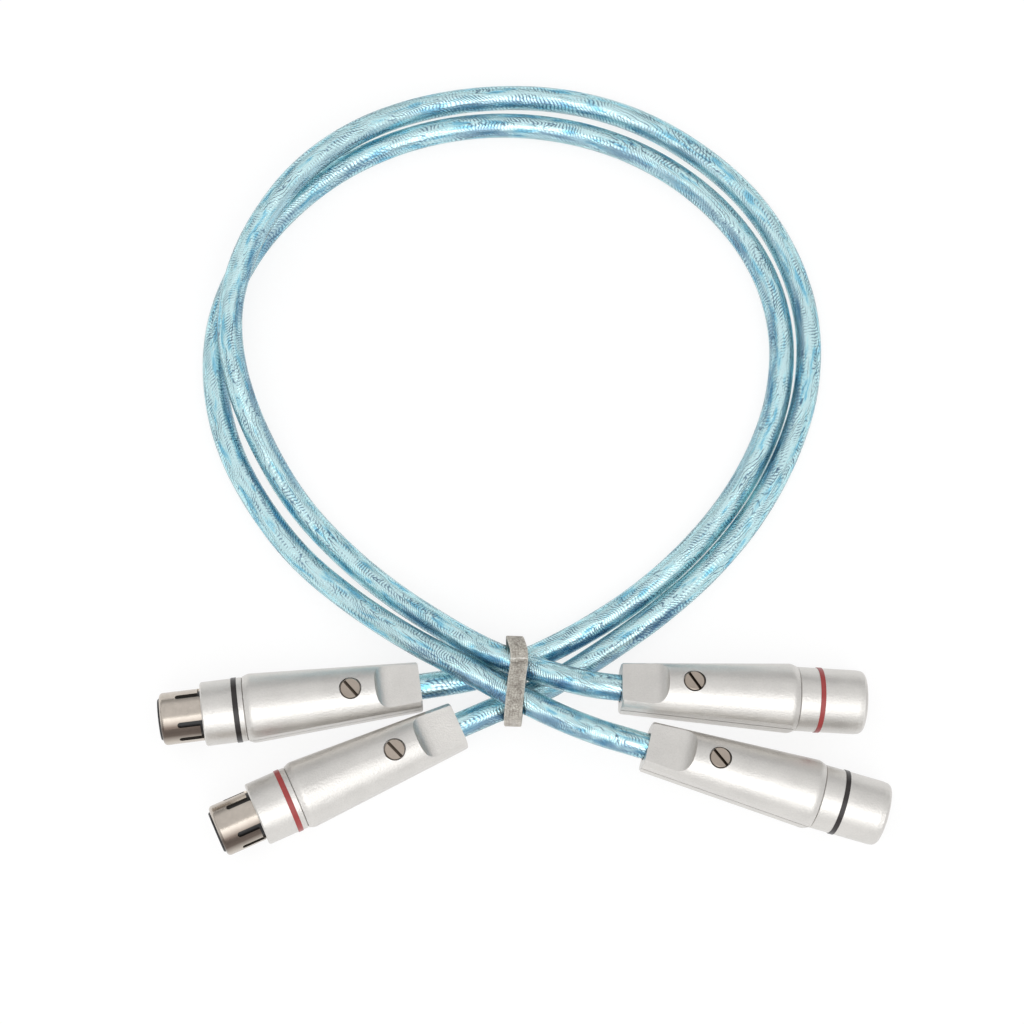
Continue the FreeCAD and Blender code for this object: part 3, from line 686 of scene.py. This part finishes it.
# %% Metal finishes
def satin_metal(name, colour, rough, grains, bump, mottle=0.04):
    """Plated metal with a fine blasted grain and faint clouds in its tone and gloss."""
    made = Finish(name).set(Metallic=1.0)
    base = Vector(seen(*colour)[:3])
    cloud = made.noise(140.0, 4.0)
    coarse, fine = (made.noise(grain, 2.0) for grain in grains)
    tone = made.plus(made.times(cloud, 0.6), made.times(coarse, 0.4))
    dark, pale = tuple(base * (1 - 2 * mottle)), tuple(base * (1 + mottle))
    made.join(made.ramp(tone, (0.38, dark), (0.62, pale)), made.shader.inputs["Base Color"])
    low, high = (rough * 0.9,) * 3, (rough * 1.1,) * 3
    made.join(made.ramp(cloud, (0.3, low), (0.7, high)), made.shader.inputs["Roughness"])
    made.bump(made.plus(coarse, made.times(fine, 0.5)), bump, 0.5)
    return made


pearl = satin_metal("satin_pearl_nickel", (0.86, 0.85, 0.835), 0.38, (1900.0, 4200.0),
                    0.00018, 0.03).material
gold = satin_metal("contact_gold", (0.90, 0.76, 0.42), 0.2, (900.0, 5200.0), 0.00001).material
print("metals ready")

# %% [markdown]
# ## Darker places in the metal
# Each screw is painted with shade below the face of its head, in its slot and round it,
# and each barrel has a painted dark reflection in a band on the viewer's side. Both
# places are found by their distance along a direction. A second material on their faces
# would do it too, but its edge would be hard.

# %% Darker places in the metal
def shaded(made, direction, stops, colour, amount):
    """Finish with painted shade, a darker tone where points lie at some distances along a
    direction.
    """
    dot = made.node("ShaderNodeVectorMath", operation="DOT_PRODUCT")
    dot.inputs[1].default_value = direction
    made.join(made.node("ShaderNodeTexCoord").outputs["Object"], dot.inputs[0])
    start, full, fade, end = stops
    distance = dot.outputs["Value"]
    part = made.times(made.span(distance, start, full), made.span(distance, end, fade))
    under = made.shader.inputs["Base Color"].links[0].from_socket
    tone = made.laid_over(under, seen(*colour), made.times(part, amount))
    made.join(tone, made.shader.inputs["Base Color"])
    return made.material


# how deep under the head's face the painted shade starts, is full, fades and ends, in millimetres
SLOT_SHADE_DEPTHS = (0.06, 0.6, 9, 10)
# how far towards the viewer the band of painted dark reflection starts, is full, fades and ends,
# in radii
REFLECTION_BAND_SPAN = (0.20, 0.52, 0.80, 0.97)


def screw_finish(name, mesh):
    """Brownish steel, with painted shade below the face of the screw's head."""
    metal = satin_metal("steel_of_" + name, (0.69, 0.645, 0.60), 0.34, (1800.0, 4200.0), 0.00005)
    flats = [face for face in mesh.polygons if face.normal.z > 0.9]
    up = sum((face.normal * face.area for face in flats), Vector()).normalized()
    top = max(vert.co @ up for vert in mesh.vertices)
    depths = tuple(top - depth * MM for depth in SLOT_SHADE_DEPTHS)
    # painted shade: the screw darkens below its head's face
    return shaded(metal, up, depths, (0.24, 0.20, 0.17), 0.9)


def barrel_finish(name, mesh):
    """Bright nickel with a painted dark reflection in a band on the viewer's side."""
    metal = satin_metal("nickel_of_" + name, (0.78, 0.745, 0.705), 0.22, (700.0, 5200.0), 0.00003)
    near = axis_of(name[:-len("_barrel")]).cross(Vector((0, 0, 1))).normalized()
    near = near if near.y < 0 else -near
    spots = [vert.co @ near for vert in mesh.vertices]
    centre, radius = (max(spots) + min(spots)) / 2, (max(spots) - min(spots)) / 2
    distances = tuple(centre + radius * part for part in REFLECTION_BAND_SPAN)
    # painted reflection: a dark band on the barrel's side towards the viewer
    return shaded(metal, near, distances, (0.28, 0.22, 0.19), 0.85)


print("shaded metals ready")

# %% [markdown]
# ## Plastic finishes
# The inserts, the cores' insulation and the colour rings are moulded plastic, with a fine
# surface and small changes of tone. One even colour would do for pieces this small, but
# it would look drawn next to the metal.

# %% Plastic finishes
def moulded(name, colour, rough, speck=0.05):
    """Moulded plastic with a fine surface and small changes of tone."""
    made = Finish(name)
    base = Vector(seen(*colour)[:3])
    dark, pale = tuple(base * (1 - speck)), tuple(base * (1 + speck))
    made.join(made.ramp(made.noise(700.0, 3.0), (0.35, dark), (0.65, pale)),
              made.shader.inputs["Base Color"])
    made.set(Roughness=rough)
    made.bump(made.noise(2600.0, 2.0), 0.00003, 0.4)
    return made.material


black_plastic = moulded("insert_black", (0.10, 0.10, 0.105), 0.45, 0.15)
white_plastic = moulded("core_white", (0.90, 0.90, 0.88), 0.4)
red_ring = moulded("ring_red", (0.61, 0.22, 0.215), 0.3)
black_ring = moulded("ring_black", (0.13, 0.11, 0.11), 0.3, 0.1)
print("plastics ready")

# %% [markdown]
# ## Dress the model's pieces
# Every hard piece keeps its shape and place, and only its slots get a finish. The pieces
# could be picked by hand, but their names tell enough. Most go by one word in the name,
# and rings, screws and barrels have a rule of their own.

# %% Dress the model's pieces
FINISHES = {
    "housing_upper": pearl, "housing_lower": pearl, "collar": pearl, "shell": pearl,
    "insert": black_plastic, "cores": white_plastic, "pin": gold, "socket": gold,
}


def finish_of(name, mesh):
    """Material for one piece of the model, or None for a piece that is made again here."""
    if name.endswith("_colour_ring"):
        return red_ring if name.startswith("red") else black_ring
    if name.endswith("_clamp_screw"):
        return screw_finish(name, mesh)
    if name.endswith("_barrel"):
        return barrel_finish(name, mesh)
    return next((finish for word, finish in FINISHES.items() if word in name), None)


for name, node in nodes.items():
    finish = finish_of(name, node.data)
    if finish:
        for slot in node.material_slots:
            slot.material = finish
print("finished", len(nodes), "nodes")
